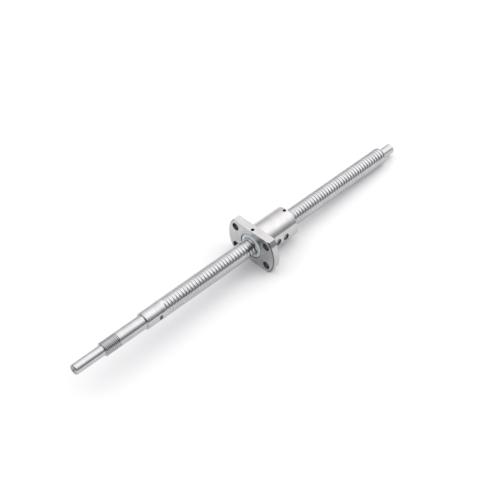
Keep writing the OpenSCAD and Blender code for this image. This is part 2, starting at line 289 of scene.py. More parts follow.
def helical_sheet(radius, columns, lead, start, end, sides, finish, phase=0.0,
                  squeeze=(0.0, 0.0), fade=0.0):
    """A helical surface between two plain circles.

    Row k stands at angle 2 pi k / sides, and its column j at station
    phase + lead k / sides + columns[j], so each column runs along the helix and the last column of
    a row is the first of the row one turn later. radius(station, offset, depth) gives the point's
    radius, where offset is the place across the lead. A squeeze presses the last turn into that
    length at an end, where the surface is a plain cone. A fade lets the groove deepen over that
    many turns from the start.
    """
    step = lead / sides
    spare = lead + 2 * step
    begin, finish_at = start - phase - columns[0], end - phase - columns[0]
    first = int(np.ceil((begin + squeeze[0] - (spare if squeeze[0] else -step)) / step))
    last = int(np.floor((finish_at - squeeze[1] + (spare if squeeze[1] else -step) - lead) / step))
    offsets = np.append(columns, columns[0] + lead)[None, :]

    def surface(rows, offset):
        free = phase + rows * step + offset
        x = free
        if squeeze[0]:
            limit = start + squeeze[0]
            x = np.where(free < limit, start + squeeze[0] * np.exp((free - limit) / spare), x)
        if squeeze[1]:
            limit = end - squeeze[1]
            x = np.where(free > limit, end - squeeze[1] * np.exp((limit - free) / spare), x)
        depth = np.clip((rows - first) / (fade * sides), 0, 1) if fade else 1.0
        depth = depth * depth * (3 - 2 * depth)
        return polar(x, radius(x, offset, depth), rows * TURN / sides)

    rows = np.arange(first, last + 1)[:, None]
    tiny = lead * 1e-4
    normals = np.cross(surface(rows + tiny, offsets) - surface(rows - tiny, offsets),
                       surface(rows, offsets + tiny) - surface(rows, offsets - tiny))
    patches = [grid_patch(surface(rows, offsets), normals, finish)]
    for row, station, opening in ((first, start, True), (last, end, False)):
        turn = row + np.arange(sides + 1)
        angle = turn * TURN / sides
        edge = surface(turn[:, None], offsets[:, :1])[:, 0]
        rim_r = radius(np.array([station]), offsets[0, :1], 0.0 if fade and opening else 1.0)[0]
        rim = polar(station, rim_r, angle)
        pair = np.stack([rim, edge] if opening else [edge, rim], 1)
        normal = np.cross(polar(0.0, 1.0, angle + np.pi / 2), pair[:, 1] - pair[:, 0])
        normal = np.repeat(normal[:, None], 2, 1)
        seam = surface(np.array([[row]]), offsets)[0]
        plain = slice(0, -1) if opening else slice(1, None)
        patches.append(grid_patch(pair[plain], normal[plain], finish))
        if opening:
            lid = np.concatenate([rim[:1], seam, pair[-2:-1, 1], pair[-2:-1, 0]])
        else:
            lid = np.concatenate([pair[1], rim[:1], seam[::-1]])
        patches.append((lid, np.tile(unit(normal[0, 0]), (len(lid), 1)), [range(len(lid))], finish))
    return patches


def triangulate(rings, fill, keep):
    """Triangles over flat points: the closed rings stay as edges, fill points lie between them,
    and a triangle stays where keep(its middle) is true. Gives the points and the triangles."""
    points = np.concatenate([*rings, fill]) if len(fill) else np.concatenate(rings)
    starts = np.cumsum([0] + [len(r) for r in rings])
    edges = np.concatenate([np.stack([np.arange(i, j), np.roll(np.arange(i, j), -1)], -1)
                            for i, j in zip(starts[:-1], starts[1:])])
    whole_hull, closest = 0, 1e-7
    found = delaunay_2d_cdt([Vector(p) for p in points], edges.tolist(), [], whole_hull, closest)
    source = np.array([origin[0] if origin else -1 for origin in found[3]])
    faces = source[np.array(found[2])]
    faces = faces[(faces >= 0).all(1)]
    return points, faces[keep(points[faces].mean(1))]


def in_ring(points, ring):
    """True where a flat point lies inside a ring: a line to the right crosses it an odd number
    of times."""
    a, b = ring[None], np.roll(ring, -1, 0)[None]
    p = points[:, None]
    crosses = (a[..., 1] > p[..., 1]) != (b[..., 1] > p[..., 1])
    with np.errstate(divide="ignore", invalid="ignore"):
        share = (p[..., 1] - a[..., 1]) / (b[..., 1] - a[..., 1])
        at = a[..., 0] + share * (b[..., 0] - a[..., 0])
    return (crosses & (p[..., 0] < at)).sum(1) % 2 == 1


def clear_of(points, rings):
    """True where a flat point lies in none of the rings."""
    return ~np.any([in_ring(points, ring) for ring in rings], axis=0)


def pierced_plane(outline, holes, place_at, normal, finish):
    """A flat face with holes. outline and holes are rings of flat points, and place_at puts flat
    points in space so that they turn to the left seen against the normal."""
    flat, faces = triangulate([outline, *holes], [],
                              lambda p: in_ring(p, outline) & clear_of(p, holes))
    points = place_at(flat)
    return points, np.tile(np.array(normal, float), (len(points), 1)), faces, finish


# Faces round a hole, rounds to find the angles of its ring, the share of a turn where a round wall
# is cut open, and the room that inner points of a wall keep from its holes, in millimetres.
HOLE_SIDES = 40
RING_ROUNDS = 12
SEAM_AT = 0.15
HOLE_ROOM = 0.25
HOLE_TURN = np.arange(HOLE_SIDES) * TURN / HOLE_SIDES


# Directions of a hole: along its axis to the outside, and the two in which its rings are turned.
# A ring's point at angle f lies cos f along the one and sin f along the other.
AXIAL = np.array([-1.0, 0, 0]), np.array([[0, 1.0, 0], [0, 0, 1.0]])


def radial(angle):
    """The directions of a radial hole at that angle about X."""
    c, s = np.cos(angle), np.sin(angle)
    return np.array([0, c, s]), np.array([[1.0, 0, 0], [0, -s, c]])


def round_ring(hole, grow, wall_r):
    """Ring where a radial hole (x, angle, r), made wider by grow, meets a round wall.

    The ring is at station x + r cos f and r sin f to the side, so its angle about X is
    angle + asin(r sin f / wall radius). wall_r is a radius or a function of (x, angle); for a
    function, the angle is found by repeating that step. Gives (angle, x) and the points.
    """
    x, angle, r = hole
    station = x + (r + grow) * np.cos(HOLE_TURN)
    side = (r + grow) * np.sin(HOLE_TURN)
    turn = np.full(HOLE_SIDES, angle)
    for _ in range(RING_ROUNDS):
        wall = wall_r(station, turn) if callable(wall_r) else wall_r
        turn = angle + np.arcsin(side / wall)
    return np.stack([turn, station], -1), polar(station, wall, turn)


def flat_ring(hole, grow, height):
    """Ring of a radial hole in a flat face at a height above the axis."""
    x, angle, r = hole
    out, across = radial(angle)
    return out * height + (r + grow) * circle(HOLE_TURN) @ across + [x, 0, 0]


def hole_wall(rings, directions, finishes):
    """Walls of a hole between rings from the outside in, facing its axis. A ring that is wider
    than the next makes a broken edge: the normal of a strip is inward * drop + out * narrowing."""
    out, across = directions
    inward = -circle(HOLE_TURN) @ across
    close = np.append(np.arange(HOLE_SIDES), 0)
    patches = []
    for upper, lower, finish in zip(rings[:-1], rings[1:], finishes):
        drop = ((upper - lower) @ out)[:, None]
        narrowing = ((lower - upper) * inward).sum(1)[:, None]
        normals = np.repeat((inward * drop + out * narrowing)[close, None], 2, 1)
        strip = np.stack([upper, lower], 1)[close]
        patches.append(turned_over(grid_patch(strip, -normals, finish)))
    return patches


def pierced_wall(x0, x1, wall_r, sides, holes, finish, inner=False, fill=None, rows=9):
    """A round wall between two stations with radial holes in it.

    The wall is unrolled to (angle, x), cut open at SEAM_AT of a turn, where no hole lies, filled
    with triangles and rolled up again: a flat point goes to radius wall_r, a number or a function
    of (x, angle). holes are (x, angle, r, grow), and fill(angles) gives the inner points.
    """
    first = int(round(SEAM_AT * sides))
    angle = (first + np.arange(sides + 1)) * TURN / sides
    mean_r = wall_r
    if callable(wall_r):
        mean_r = np.mean(wall_r(np.full(sides, (x0 + x1) / 2), angle[:-1]))
    seam = np.linspace(x0, x1, rows)[1:-1]
    outline = np.concatenate([
        np.stack([angle, np.full(sides + 1, x0)], -1),
        np.stack([np.full(rows - 2, angle[-1]), seam], -1),
        np.stack([angle[::-1], np.full(sides + 1, x1)], -1),
        np.stack([np.full(rows - 2, angle[0]), seam[::-1]], -1)])
    if fill is None:
        fill = np.stack([m.ravel() for m in np.meshgrid(angle[1:-1], seam)], -1)
    else:
        fill = fill(angle)
    rings, free = [], np.ones(len(fill), bool)
    for x, turn, r, grow in holes:
        turn = (turn - angle[0]) % TURN + angle[0]
        rings.append(round_ring((x, turn, r), grow, wall_r)[0])
        free &= np.hypot(fill[:, 1] - x, mean_r * (fill[:, 0] - turn)) > r + grow + HOLE_ROOM
    scale = np.array([mean_r, 1.0])
    edge, *mouths = [ring * scale for ring in (outline, *rings)]
    faces = triangulate([edge, *mouths], fill[free] * scale, lambda p: clear_of(p, mouths))[1]
    turn, x = np.concatenate([outline, *rings, fill[free]]).T

    def roll(turn, x):
        return polar(x, wall_r(x, turn) if callable(wall_r) else wall_r, turn)

    tiny = 1e-4
    normals = np.cross(roll(turn + tiny, x) - roll(turn - tiny, x),
                       roll(turn, x + tiny) - roll(turn, x - tiny))
    patch = roll(turn, x), unit(normals), faces, finish
    return turned_over(patch) if inner else patch


def drop_folded(faces, weld):
    """Faces in groups of one corner count: a face with two welded corners loses one of them, and
    a face with more is left out."""
    corners = weld[faces]
    same = corners == np.roll(corners, -1, 1)
    count = same.sum(1)
    return [faces[count == 0]] + [np.delete(faces[(count == 1) & same[:, i]], i, 1)
                                  for i in range(faces.shape[1])]


def assemble(name, patches, materials):
    """Welds patches into one closed mesh object in metres, with the normals of each patch.

    A face's own normal is the cross product of the lines from its first corner to its third and
    from its second to its last. It takes over at corners whose patch normal leans too far from it,
    but not on the lids of the threads, which have five corners or more.
    """
    shifts = np.cumsum([0] + [len(p[0]) for p in patches])
    points = np.concatenate([p[0] for p in patches])
    normals = np.concatenate([p[1] for p in patches])
    key = np.round(points / WELD_MM).astype(np.int64)
    _, keep, weld = np.unique(key, axis=0, return_index=True, return_inverse=True)
    weld = weld.reshape(-1)
    corners, totals, finishes = [], [], []
    for (_, _, faces, finish), shift in zip(patches, shifts):
        if isinstance(faces, list):
            groups = [np.array([face]) + shift for face in faces]
        else:
            groups = drop_folded(np.asarray(faces) + shift, weld)
        for group in groups:
            corners.append(group.reshape(-1))
            totals.append(np.full(len(group), group.shape[1]))
            finishes.append(np.full(len(group), finish))
    corners, totals = np.concatenate(corners), np.concatenate(totals)
    start = np.cumsum(totals) - totals
    a, b, c, d = (points[corners[start + k]] for k in (0, 1, 2, totals - 1))
    own = np.repeat(unit(np.cross(c - a, d - b)), totals, 0)
    shown = normals[corners]
    lid_corners = 5
    stray = ((shown * own).sum(1) < LEAST_LEAN) & np.repeat(totals < lid_corners, totals)
    shown[stray] = own[stray]
    mesh = bpy.data.meshes.new(name)
    mesh.vertices.add(len(keep))
    mesh.vertices.foreach_set("co", (points[keep] * MM).astype(np.float32).ravel())
    mesh.loops.add(len(corners))
    mesh.loops.foreach_set("vertex_index", weld[corners].astype(np.int32))
    mesh.polygons.add(len(totals))
    mesh.polygons.foreach_set("loop_start", start.astype(np.int32))
    for material in materials:
        mesh.materials.append(material)
    mesh.polygons.foreach_set("material_index", np.concatenate(finishes).astype(np.int32))
    mesh.update(calc_edges=True)
    mesh.shade_smooth()
    mesh.normals_split_custom_set(shown)
    if mesh.validate():
        raise RuntimeError(f"{name} has faces that don't fit together")
    piece = bpy.data.objects.new(name, mesh)
    bpy.context.scene.collection.objects.link(piece)
    return piece


def hand_over(piece, body, slot, *nodes):
    """The piece rides on its body and stands for its CAD nodes, which are hidden. The slot is not
    used.
    """
    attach(piece, body)
    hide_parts(*nodes)


# Materials. Grinding lines are stretched along their length to LINE_STRETCH noise cells in a
# millimetre, and their colour changes in bands LINE_BANDS times as close as the lines. The film
# shows between the two noise levels of FILM_EDGE. A fine finish has faint lines and film.
LINE_STRETCH = 0.25
LINE_BANDS = 0.12
FILM_EDGE = (0.38, 0.66)
FINE = {"spread": 0.06, "tone": 0.06, "film": 0.04}


def node(tree, kind, **values):
    """A node with its values set. The key p_NAME is a property, iN is the input socket with that
    number, and any other key is an input socket's name. A value that is a socket is linked."""
    made = tree.nodes.new(kind)
    for key, value in values.items():
        if key.startswith("p_"):
            setattr(made, key[2:], value)
            continue
        socket = made.inputs[int(key[1:]) if key[0] == "i" and key[1:].isdigit() else key]
        if isinstance(value, bpy.types.NodeSocket):
            tree.links.new(value, socket)
        else:
            socket.default_value = value
    return made


def math_node(tree, operation, a, b=0.0):
    """One operation on two values."""
    return node(tree, "ShaderNodeMath", p_operation=operation, i0=a, i1=b).outputs[0]


def times(tree, a, b):
    """The product of two values."""
    return math_node(tree, "MULTIPLY", a, b)


def plus(tree, a, b):
    """The sum of two values."""
    return math_node(tree, "ADD", a, b)


def map_range(tree, value, low, high, **more):
    """A value spread out so that low becomes 0 and high becomes 1."""
    return node(tree, "ShaderNodeMapRange", Value=value, **{"From Min": low, "From Max": high},
                **more).outputs[0]


def blend(tree, share, low, high, kind="MIX"):
    """A colour that goes from low to high with the share. With kind MULTIPLY, their product."""
    return node(tree, "ShaderNodeMix", p_data_type="RGBA", p_blend_type=kind, i0=share, i6=low,
                i7=high).outputs[2]


def group_tree(name, inputs, outputs):
    """An empty shader node group with named sockets, and its two end nodes."""
    tree = bpy.data.node_groups.new(name, "ShaderNodeTree")
    for socket, default in inputs:
        made = tree.interface.new_socket(name=socket, in_out="INPUT",
                                         socket_type="NodeSocketFloat")
        made.default_value = default
    for socket in outputs:
        tree.interface.new_socket(name=socket, in_out="OUTPUT", socket_type="NodeSocketFloat")
    return tree, tree.nodes.new("NodeGroupInput"), tree.nodes.new("NodeGroupOutput")


def grinding_lines():
    """Fine lines left by a grinding wheel or a turning tool: noise that changes fast across the
    lines and slowly along them. Height is for bump, Tone is a soft version for colour."""
    found = bpy.data.node_groups.get("Grinding lines")
    if found:
        return found
    tree, start, end = group_tree(
        "Grinding lines", [("Across", 0.0), ("Along", 0.0), ("Lines per mm", 12.0)],
        ["Height", "Tone"])
    per_metre = times(tree, start.outputs["Lines per mm"], 1.0 / MM)
    across = times(tree, start.outputs["Across"], per_metre)
    along = times(tree, start.outputs["Along"], LINE_STRETCH / MM)
    wide = times(tree, across, LINE_BANDS)
    spots = [node(tree, "ShaderNodeCombineXYZ", i0=v, i1=along).outputs[0] for v in (across, wide)]
    fine = node(tree, "ShaderNodeTexNoise", Vector=spots[0], Scale=1.0, Detail=3.0, Roughness=0.6)
    broad = node(tree, "ShaderNodeTexNoise", Vector=spots[1], Scale=1.0, Detail=2.0)
    tree.links.new(fine.outputs[0], end.inputs["Height"])
    tree.links.new(broad.outputs[0], end.inputs["Tone"])
    return tree


def handling_film():
    """Thin uneven film of oil and finger marks: soft blotches a few millimetres wide."""
    found = bpy.data.node_groups.get("Handling film")
    if found:
        return found
    tree, start, end = group_tree(
        "Handling film", [("X", 0.0), ("Y", 0.0), ("Z", 0.0), ("Blotches per mm", 0.15)], ["Mask"])
    x, y, z, blotches = start.outputs[:4]
    spot = node(tree, "ShaderNodeCombineXYZ", i0=x, i1=y, i2=z).outputs[0]
    per_metre = times(tree, blotches, 1.0 / MM)
    blotch = node(tree, "ShaderNodeTexNoise", Vector=spot, Scale=per_metre, Detail=3.0,
                  Roughness=0.55)
    mask = map_range(tree, blotch.outputs[0], *FILM_EDGE, p_interpolation_type="SMOOTHSTEP")
    tree.links.new(mask, end.inputs["Mask"])
    return tree


def new_material(name):
    """An empty material, its node tree and the object coordinates in it."""
    material = bpy.data.materials.new(name)
    material.use_nodes = True
    tree = material.node_tree
    tree.nodes.clear()
    return material, tree, node(tree, "ShaderNodeTexCoord").outputs["Object"]


def scaled(tint, factor):
    """A colour made lighter or darker, with full alpha."""
    return (*[min(v * factor, 1.0) for v in tint], 1)


def metal(name, tint, rough, lines, direction, bump=0.0004, spread=0.10, tone=0.10, film=0.05,
          painted_root_shade=None):
    """Steel with grinding lines and a handling film.

    direction says how the lines lie: "round" for lines round the X axis, "rings" for circles on a
    face across X, "flat" for lines along Y. The colour varies by tone with the lines and by film
    with the film, and the roughness by spread. The last argument is (low, high, level): painted
    shade for the roots of a thread, which dims the steel to that level at the low radius and is
    gone at the high one, in millimetres.
    """
    material, tree, spot = new_material(name)
    x, y, z = node(tree, "ShaderNodeSeparateXYZ", i0=spot).outputs
    radius = math_node(tree, "SQRT", plus(tree, times(tree, y, y), times(tree, z, z)))
    across, along = {"round": (x, z), "rings": (radius, y), "flat": (x, y)}[direction]
    marks = node(tree, "ShaderNodeGroup", p_node_tree=grinding_lines(), Across=across, Along=along,
                 **{"Lines per mm": lines}).outputs
    smear = node(tree, "ShaderNodeGroup", p_node_tree=handling_film(), X=x, Y=y, Z=z).outputs[0]
    shade = plus(tree, times(tree, marks["Tone"], tone), times(tree, smear, film))
    steel = blend(tree, times(tree, shade, 1 / (tone + film)),
                  scaled(tint, 1 - tone - film), scaled(tint, 1 + tone + film))
    # Painted shade: the steel gets darker towards the low radius, as in the roots of a thread.
    if painted_root_shade:
        low, high, level = painted_root_shade
        root_shade_factor = map_range(tree, radius, low * MM, high * MM, **{"To Min": level})
        steel = blend(tree, 1.0, steel, root_shade_factor, "MULTIPLY")
    gloss = plus(tree, rough - spread / 2, times(tree, marks["Height"], spread / 2))
    gloss = plus(tree, gloss, times(tree, smear, spread / 2))
    relief = node(tree, "ShaderNodeBump", Strength=0.35, Distance=bump * MM,
                  Height=marks["Height"])
    shader = node(tree, "ShaderNodeBsdfPrincipled", Metallic=1.0, Roughness=gloss,
                  Normal=relief.outputs[0], **{"Base Color": steel})
    node(tree, "ShaderNodeOutputMaterial", i0=shader.outputs[0])
    return material


def moulded(name, tint):
    """Moulded plastic: fine spark grain, soft colour drift and a faint film."""
    material, tree, spot = new_material(name)
    x, y, z = node(tree, "ShaderNodeSeparateXYZ", i0=spot).outputs
    grain = node(tree, "ShaderNodeTexNoise", Vector=spot, Scale=9.0 / MM, Detail=2.0).outputs[0]
    smear = node(tree, "ShaderNodeGroup", p_node_tree=handling_film(), X=x, Y=y, Z=z,
                 **{"Blotches per mm": 0.4}).outputs[0]
    gloss = plus(tree, 0.38, times(tree, grain, 0.2))
    relief = node(tree, "ShaderNodeBump", Strength=0.3, Distance=0.01 * MM, Height=grain)
    shader = node(tree, "ShaderNodeBsdfPrincipled", Roughness=gloss, Normal=relief.outputs[0],
                  **{"Base Color": blend(tree, smear, scaled(tint, 0.92), scaled(tint, 1.05))})
    node(tree, "ShaderNodeOutputMaterial", i0=shader.outputs[0])
    return material


def table_top(name, tint):
    """Pale table with a very faint tone drift. A little of its white is its own light for what
    sees it directly or in a reflection, so that the shadow stays soft and light."""
    material, tree, spot = new_material(name)
    drift = node(tree, "ShaderNodeTexNoise", Vector=spot, Scale=6.0, Detail=1.0).outputs[0]
    tone = blend(tree, drift, scaled(tint, 0.995), scaled(tint, 1.0))
    shader = node(tree, "ShaderNodeBsdfPrincipled", Roughness=0.9,
                  **{"Base Color": tone, "Specular IOR Level": 0.1})
    rays = node(tree, "ShaderNodeLightPath").outputs
    mirrored = math_node(tree, "MAXIMUM", rays["Is Glossy Ray"], rays["Is Transmission Ray"])
    seen = math_node(tree, "MAXIMUM", rays["Is Camera Ray"], mirrored)
    glow = node(tree, "ShaderNodeEmission", Strength=times(tree, seen, TABLE_GLOW))
    both = node(tree, "ShaderNodeAddShader", i0=shader.outputs[0], i1=glow.outputs[0])
    node(tree, "ShaderNodeOutputMaterial", i0=both.outputs[0])
    return material


# Pieces


def notched_ring(stations, land_r, floor_r, reach, sides, plain, cut):
    """A stretch of a cylinder between two stations, with a slot cut into its -Y side.

    The slot spans reach steps of the turn to either side of -Y. Its floor is an arc at floor_r,
    and flat walls across X and along X join it to the cylinder.
    """
    half = sides // 2
    rest = np.arange(half + reach, sides + half - reach + 1)[:, None] * TURN / sides
    slot = np.arange(half - reach, half + reach + 1)[:, None] * TURN / sides
    patches = [grid_patch(polar(stations, r, span), polar([0.0, 0.0], 1.0, span), finish)
               for span, r, finish in ((rest, land_r, plain), (slot, floor_r, cut))]
    wall_r = np.array([land_r, floor_r])
    for x, way in zip(stations, (1, -1)):
        wall = polar(x, wall_r[::way], slot)
        patches.append(grid_patch(wall, np.full_like(wall, way) * [1, 0, 0], cut))
    for angle, way in zip(slot[[0, -1], 0], (1, -1)):
        wall = polar(stations[None, :], wall_r[::way, None], angle)
        normal = polar(0.0, 1.0, angle + np.pi / 2)
        patches.append(grid_patch(wall, np.full_like(wall, way) * normal, cut))
    return patches


class BALLSCREW_OT_screw(bpy.types.Operator):
    """Makes the screw: turned ends, lock nut thread, land with its notch, and the ball thread"""

    bl_idname = "ballscrew.screw"
    bl_label = "Screw"

    def execute(self, context):
        mm = in_mm(context.scene.ball_screw_shaft)
        c = context.scene.ball_screw_colours
        n = mm.sides
        ground, rough_turned, rolled, polished, skin = range(5)
        end_rim, journal_rim, land_rim, thread_rim = 0.5, 0.15, 0.3, 0.8
        centre_hole = [(1.6, 0.0), (0.25, 0.75), (0.0, 1.0, 0.03)]

        # Drive end, with its centre hole as (depth, radius, fillet)
        patches = [
            turned([*((mm.tip + depth, *rest) for depth, *rest in centre_hole),
                    (mm.tip, mm.end_r - end_rim)], n, rough_turned),
            turned([(mm.tip, mm.end_r - end_rim), (mm.tip + end_rim, mm.end_r, 0.08),
                    (mm.lock, mm.end_r, 0.15), (mm.lock, mm.neck_r)], n, ground)]

        # Lock nut thread, which runs down to the neck at both ends
        def lock_thread(x, across, deep):
            ends = np.minimum(x - mm.lock, 2.0 * (mm.relief - x))
            return np.minimum(vee(across, mm.lock_pitch, mm.lock_r, mm.lock_root_r),
                              mm.neck_r + ends)

        columns = mm.lock_pitch * np.array([-0.5, -VEE_CREST, -VEE_ROOT, -VEE_ROOT / 2, 0.0,
                                            VEE_ROOT / 2, VEE_ROOT, VEE_CREST])
        patches += helical_sheet(lock_thread, columns, mm.lock_pitch, mm.lock, mm.relief, n,
                                 rolled, squeeze=(0.1, 0.07))

        # Relief, bearing journal and land
        patches += [
            turned([(mm.relief, mm.neck_r), (mm.journal, mm.neck_r, 0.12),
                    (mm.journal, mm.journal_r - journal_rim),
                    (mm.journal + journal_rim, mm.journal_r, 0.04),
                    (mm.shoulder, mm.journal_r, 0.15),
                    (mm.shoulder, mm.land_r - land_rim)], n, ground),
            turned([(mm.shoulder, mm.land_r - land_rim),
                    (mm.shoulder + land_rim, mm.land_r)], n, ground)]
        notch = mm.notch_at + np.array([-0.5, 0.5]) * mm.notch_w
        reach = int(round(mm.notch_len / 2 / mm.land_r / TURN * n))
        patches.append(turned([(mm.shoulder + land_rim, mm.land_r), (notch[0], mm.land_r)],
                              n, ground))
        # The faces of the notch take its dark colour, which is painted shade.
        patches += notched_ring(notch, mm.land_r, mm.land_r - mm.notch_depth, reach, n, ground,
                                skin)
        patches.append(turned([(notch[1], mm.land_r), (mm.step, mm.land_r),
                               (mm.thread, mm.crest_r)], n, ground))

        # Ball thread, which starts shallow and ends in a chamfer
        def ball_thread(x, across, deep):
            return np.minimum(mm.crest_r - deep * (mm.crest_r - gothic(across, mm.crest_r)),
                              mm.crest_r + mm.far_shoulder - thread_rim - x)

        crest = np.array([GROOVE_HALF, GROOVE_HALF + 0.05, 0.8])
        columns = np.concatenate([[-mm.lead / 2], -crest[::-1], np.linspace(-0.5, 0.5, 6), crest])
        patches += helical_sheet(ball_thread, columns, mm.lead, mm.thread, mm.far_shoulder, n,
                                 polished, phase=mm.groove_at, squeeze=(0.0, 0.25), fade=0.15)

        # Supported end
        patches += [
            turned([(mm.far_shoulder, mm.crest_r - thread_rim), (mm.far_shoulder, mm.end_r, 0.12),
                    (mm.far_tip - end_rim, mm.end_r, 0.08),
                    (mm.far_tip, mm.end_r - end_rim)], n, ground),
            turned([(mm.far_tip, mm.end_r - end_rim),
                    *((mm.far_tip - depth, *rest) for depth, *rest in centre_hole[::-1])],
                   n, rough_turned)]
        piece = assemble("screw", patches, [
            metal("screw_ground", c.screw, 0.16, 14.0, "round", **FINE),
            metal("screw_turned", c.thread, 0.22, 8.0, "rings"),
            # The roots of the lock thread are darkened with painted shade.
            metal("screw_lock_thread", c.lock, 0.2, 8.0, "round",
                  painted_root_shade=(mm.lock_root_r, mm.lock_r, 0.85)),
            metal("screw_ball_thread", c.raceway, 0.16, 14.0, "round", **FINE),
            # Painted shade inside the stop notch.
            metal("screw_notch_painted_shade", c.notch, 0.4, 8.0, "flat")])
        hand_over(piece, "screw", "screw_steel", "screw_shaft")
        return {"FINISHED"}


def flange_ring(radius, half_flat, corner, arc_steps=28, corner_steps=5, flat_steps=16):
    """Outline of the flange across X as (y, z) points with their outward directions.

    It is the circle of that radius cut by two flats, with the corners rounded: the middle of a
    corner's arc lies corner inside both the circle and the flat. The four runs start at the lower
    end of the +Y arc: arc with its two corners, top flat, the other arc with its corners, bottom
    flat. Also gives the number of points in an arc run and in a flat run.
    """
    z = half_flat - corner
    y = np.sqrt((radius - corner)**2 - z**2)
    lean = np.arctan2(z, y)
    bend = np.linspace(lean, np.pi / 2, corner_steps + 1)
    main = np.linspace(-lean, lean, arc_steps + 1)
    top = np.array([y, z]) + corner * circle(bend)
    run = np.concatenate([top[::-1] * [1, -1], radius * circle(main[1:-1]), top])
    angle = np.concatenate([-bend[::-1], main[1:-1], bend])
    along = np.linspace(y, -y, flat_steps + 1)[1:-1]
    flat = np.stack([along, np.full(len(along), half_flat)], -1)
    points = np.concatenate([run, flat, -run, -flat])
    way = np.concatenate([angle, np.full(len(along), np.pi / 2), angle + np.pi,
                          np.full(len(along), -np.pi / 2)])
    return points, circle(way), len(run), len(along)


def flange_rims(levels, corner, flat, rim_face, skin):
    """Sides of the flange through levels of (station, radius, half the distance of the flats).

    Both round rims and the lower flat are made in full. Of the upper flat only the broken edges
    are made, because a hole goes through the rest of it. Gives the patches, the rings of all
    levels and the numbers of a ring's points on the upper flat.
    """
    made = [flange_ring(r, f, corner) for _, r, f in levels]
    ways, arc, run = made[0][1:]
    rings = np.stack([np.column_stack([np.full(len(m[0]), x), m[0]])
                      for (x, _, _), m in zip(levels, made)], 1)
    total, last = len(rings), len(levels) - 2
    top = np.arange(arc - 1, arc + run + 1)
    bottom = np.arange(2 * arc + run - 1, total + 1) % total
    patches = []
    for i in range(last + 1):
        rise = ((rings[:, i + 1, 1:] - rings[:, i, 1:]) * ways).sum(1)
        normal = np.column_stack([-rise, (levels[i + 1][0] - levels[i][0]) * ways])
        normal = np.repeat(normal[:, None], 2, 1)
        finish = rim_face if i == last // 2 else skin
        spans = [(np.arange(arc), finish), (np.arange(arc) + arc + run, finish), (bottom, flat)]
        if i in (0, last):
            spans.insert(2, (top, flat))
        patches += [grid_patch(rings[span, i:i + 2], normal[span], kind) for span, kind in spans]
    return patches, rings, top


